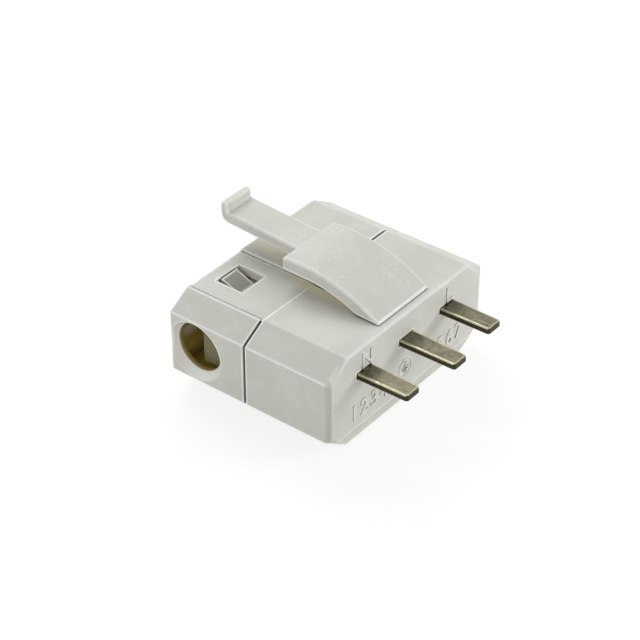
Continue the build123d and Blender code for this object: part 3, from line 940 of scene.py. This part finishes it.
def raised_text(words, height, relief, middle_x, foot_z):
    """Mesh of raised characters on the front face, with their height, middle and foot line."""
    curve = bpy.data.curves.new("words", "FONT")
    curve.body = words
    curve.size = 1.0
    curve.align_x = "CENTER"
    curve.extrude = 0.5
    curve.offset = 0.004
    curve.bevel_depth = 0.018
    curve.bevel_resolution = 1
    holder = bpy.data.objects.new("words", curve)
    bpy.context.scene.collection.objects.link(holder)
    bpy.context.view_layer.update()
    drawn = holder.evaluated_get(bpy.context.evaluated_depsgraph_get())
    mesh = bpy.data.meshes.new_from_object(drawn)
    bpy.data.objects.remove(holder)
    bpy.data.curves.remove(curve)
    flat = np.empty(len(mesh.vertices) * 3)
    mesh.vertices.foreach_get("co", flat)
    points = flat.reshape(-1, 3)
    low, high = points.min(axis=0), points.max(axis=0)
    scale = height / (high[1] - low[1])
    x = (points[:, 0] - (low[0] + high[0]) / 2) * scale + middle_x
    z = (points[:, 1] - low[1]) * scale + foot_z
    below_top = (high[2] - points[:, 2]) * scale
    depth = np.where(points[:, 2] > 0, below_top - relief, SUNK) + FRONT_Y
    mesh.vertices.foreach_set("co", np.stack([x, depth, z], axis=1).ravel())
    mesh.update()
    return mesh


def ridge_ring(centre_x, centre_z, radius, half_width, relief):
    """Raised ring on the front face: a four-point profile, narrower on top, carried round a circle."""
    angle = np.linspace(0.0, tau, RING_STEPS, endpoint=False)
    offset = np.array((-1.0, 1.0, TOP_SHARE, -TOP_SHARE)) * half_width
    depth = np.array((SUNK, SUNK, -relief, -relief)) + FRONT_Y
    reach = radius + offset[None, :]
    x = centre_x + reach * np.cos(angle)[:, None]
    z = centre_z + reach * np.sin(angle)[:, None]
    y = np.broadcast_to(depth, x.shape)
    return np.stack([x, y, z], axis=-1), tube_faces(RING_STEPS, len(offset), closed=True)


def ridge_bar(start, end, half_width, relief):
    """Raised bar between two points of the front face: an oblong, drawn in at its top."""
    start, end = np.array(start), np.array(end)
    run = (end - start) / np.linalg.norm(end - start)
    side = np.array((run[1], -run[0]))
    corner = np.array(((-1, -1), (1, -1), (1, 1), (-1, 1)))
    rows = []
    for share, depth in ((1.0, FRONT_Y + SUNK), (TOP_SHARE, FRONT_Y - relief)):
        reach = half_width * share
        flat = np.where(corner[:, 1:2] < 0, start - run * reach, end + run * reach)
        flat = flat + corner[:, :1] * side * reach
        rows.append(np.stack([flat[:, 0], np.full(4, depth), flat[:, 1]], axis=1))
    points = np.concatenate(rows)
    around = np.arange(4)
    walls = np.stack([around, (around + 1) % 4, (around + 1) % 4 + 4, around + 4], axis=1)
    faces = np.concatenate([walls, [[3, 2, 1, 0], [4, 5, 6, 7]]])
    return points, faces


class PLUG_OT_marks(Operator):
    """Raised N, L, earth sign and plain numbers on the front face"""

    bl_idname = "plug.marks"
    bl_label = "Front marks"

    def execute(self, context):
        marks = context.scene.plug_marks
        finish = context.scene.plug_finish
        white = moulded_plastic(
            "marks_white",
            tuple(finish.housing),
            finish.grain_size,
            depth=0.01 * MM,
            roughness=0.4,
            glint_flecks=0.3,
            wear_and_highlight=0.25,
        )
        words = {
            "mark_neutral": ("N", marks.letter_height, -LETTER_X, LETTER_FOOT),
            "mark_live": ("L", marks.letter_height, LETTER_X, LETTER_FOOT),
        }
        for place, number in enumerate(marks.numbers):
            if number != " ":
                middle_x = NUMBER_START + NUMBER_STEP * place
                words["mark_number_" + number] = (number, marks.number_height, middle_x, NUMBER_FOOT)
        for name, (word, height, middle_x, foot_z) in words.items():
            piece = bpy.data.objects.new(name, raised_text(word, height, marks.relief, middle_x, foot_z))
            context.scene.collection.objects.link(piece)
            piece.data.materials.clear()
            piece.data.materials.append(white)
            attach(piece, "housing")
        ring = ridge_ring(EARTH_X, EARTH_Z, EARTH_RADIUS, EARTH_RING_LINE, marks.relief)
        mesh_piece("mark_earth_ring", *ring, white, "housing", "housing_white")
        bars = [((EARTH_X, EARTH_Z + EARTH_STEM), (EARTH_X, EARTH_Z))]
        for row, reach in enumerate(EARTH_BARS):
            level = EARTH_Z - EARTH_BAR_STEP * row
            bars.append(((EARTH_X - reach, level), (EARTH_X + reach, level)))
        for number, (start, end) in enumerate(bars):
            bar = ridge_bar(start, end, EARTH_BAR_LINE, marks.relief)
            mesh_piece(f"mark_earth_bar_{number + 1}", *bar, white, "housing", "housing_white")
        return {"FINISHED"}


def lamp(name, direction, distance, width, level):
    """Square area lamp that shines at the plug. Level 1 lights a facing white surface to white."""
    light = bpy.data.lights.new(name, "AREA")
    light.shape = "SQUARE"
    light.size = width
    light.energy = level * pi**2 * distance**2
    holder = bpy.data.objects.new(name, light)
    bpy.context.scene.collection.objects.link(holder)
    away = Vector(direction).normalized()
    holder.location = LAMP_AIM + away * distance
    holder.rotation_euler = away.to_track_quat("Z", "Y").to_euler()


class PLUG_OT_stage(Operator):
    """Pale floor, soft lamps, plain surroundings and the camera"""

    bl_idname = "plug.stage"
    bl_label = "Stage"

    def execute(self, context):
        stage = context.scene.plug_stage
        mesh = bpy.data.meshes.new("floor")
        half = FLOOR_HALF
        corners = [(-half, -half, 0), (half, -half, 0), (half, half, 0), (-half, half, 0)]
        mesh.from_pydata(corners, [], [(0, 1, 2, 3)])
        floor = bpy.data.objects.new("floor", mesh)
        floor.location.z = -FLOOR_DROP
        context.scene.collection.objects.link(floor)
        material, tree, shader = new_material("floor_white")
        shader.inputs["Roughness"].default_value = 0.9
        shader.inputs["Specular IOR Level"].default_value = 0.1
        shader.inputs["Emission Color"].default_value = (1.0, 1.0, 1.0, 1.0)
        seen = seen_rays(tree, -700)
        tone = shade(tree, seen, FLOOR_SHADE, FLOOR_SEEN, (-200, 300))
        glow = arithmetic(tree, "MULTIPLY", seen, FLOOR_GLOW, (-200, 0))
        tree.links.new(tone, shader.inputs["Base Color"])
        tree.links.new(glow, shader.inputs["Emission Strength"])
        mesh.materials.append(material)

        world = bpy.data.worlds.new("surroundings")
        context.scene.world = world
        world.use_nodes = True
        tree = world.node_tree
        air = tree.nodes["Background"]
        air.inputs["Color"].default_value = (1.0, 1.0, 1.0, 1.0)
        strength = remap(tree, seen_rays(tree, -900), 0.0, 1.0, stage.ambient, 1.0, (-300, 0))
        tree.links.new(strength, air.inputs["Strength"])

        for name, (direction, distance, width, setting) in LAMPS.items():
            lamp(name, direction, distance, width, getattr(stage, setting))

        camera = bpy.data.cameras.new("camera")
        camera.lens = stage.lens
        camera.sensor_width = SENSOR_WIDTH
        holder = bpy.data.objects.new("camera", camera)
        context.scene.collection.objects.link(holder)
        turn = Matrix((CAMERA_RIGHT, CAMERA_UP, CAMERA_BACK)).transposed().to_4x4()
        holder.matrix_world = Matrix.Translation(CAMERA_AIM + CAMERA_BACK * CAMERA_DISTANCE) @ turn
        context.scene.camera = holder
        context.scene.view_settings.view_transform = "Standard"
        return {"FINISHED"}


class PLUG_PT_build(Panel):
    """Settings and steps of the ceiling light plug"""

    bl_idname = "PLUG_PT_build"
    bl_label = "Ceiling light plug"
    bl_space_type = "VIEW_3D"
    bl_region_type = "UI"
    bl_category = "Plug"

    def draw(self, context):
        layout = self.layout
        for step in STEPS:
            layout.operator(step.bl_idname)
        for title, group in (
            ("Finish", context.scene.plug_finish),
            ("Marks", context.scene.plug_marks),
            ("Spring", context.scene.plug_spring),
            ("Stage", context.scene.plug_stage),
        ):
            box = layout.box()
            box.label(text=title)
            for name in group.__annotations__:
                box.prop(group, name)


STEPS = (
    PLUG_OT_mouldings,
    PLUG_OT_inner_mouldings,
    PLUG_OT_blades,
    PLUG_OT_terminals,
    PLUG_OT_spring,
    PLUG_OT_marks,
    PLUG_OT_stage,
)
SETTINGS = {
    "plug_finish": FinishSettings,
    "plug_marks": MarkSettings,
    "plug_spring": SpringSettings,
    "plug_stage": StageSettings,
}


def register():
    """Registers the settings, the steps and the panel."""
    for cls in (*SETTINGS.values(), *STEPS, PLUG_PT_build):
        bpy.utils.register_class(cls)
    for name, cls in SETTINGS.items():
        setattr(bpy.types.Scene, name, PointerProperty(type=cls))


def unregister():
    """Takes back what register() added."""
    for name in SETTINGS:
        delattr(bpy.types.Scene, name)
    for cls in (PLUG_PT_build, *reversed(STEPS), *SETTINGS.values()):
        bpy.utils.unregister_class(cls)


def main():
    """Builds every piece in order."""
    register()
    for step in STEPS:
        family, name = step.bl_idname.split(".")
        if getattr(getattr(bpy.ops, family), name)() != {"FINISHED"}:
            raise RuntimeError("The step did not finish: " + step.bl_label)


if __name__ == "__main__":
    main()
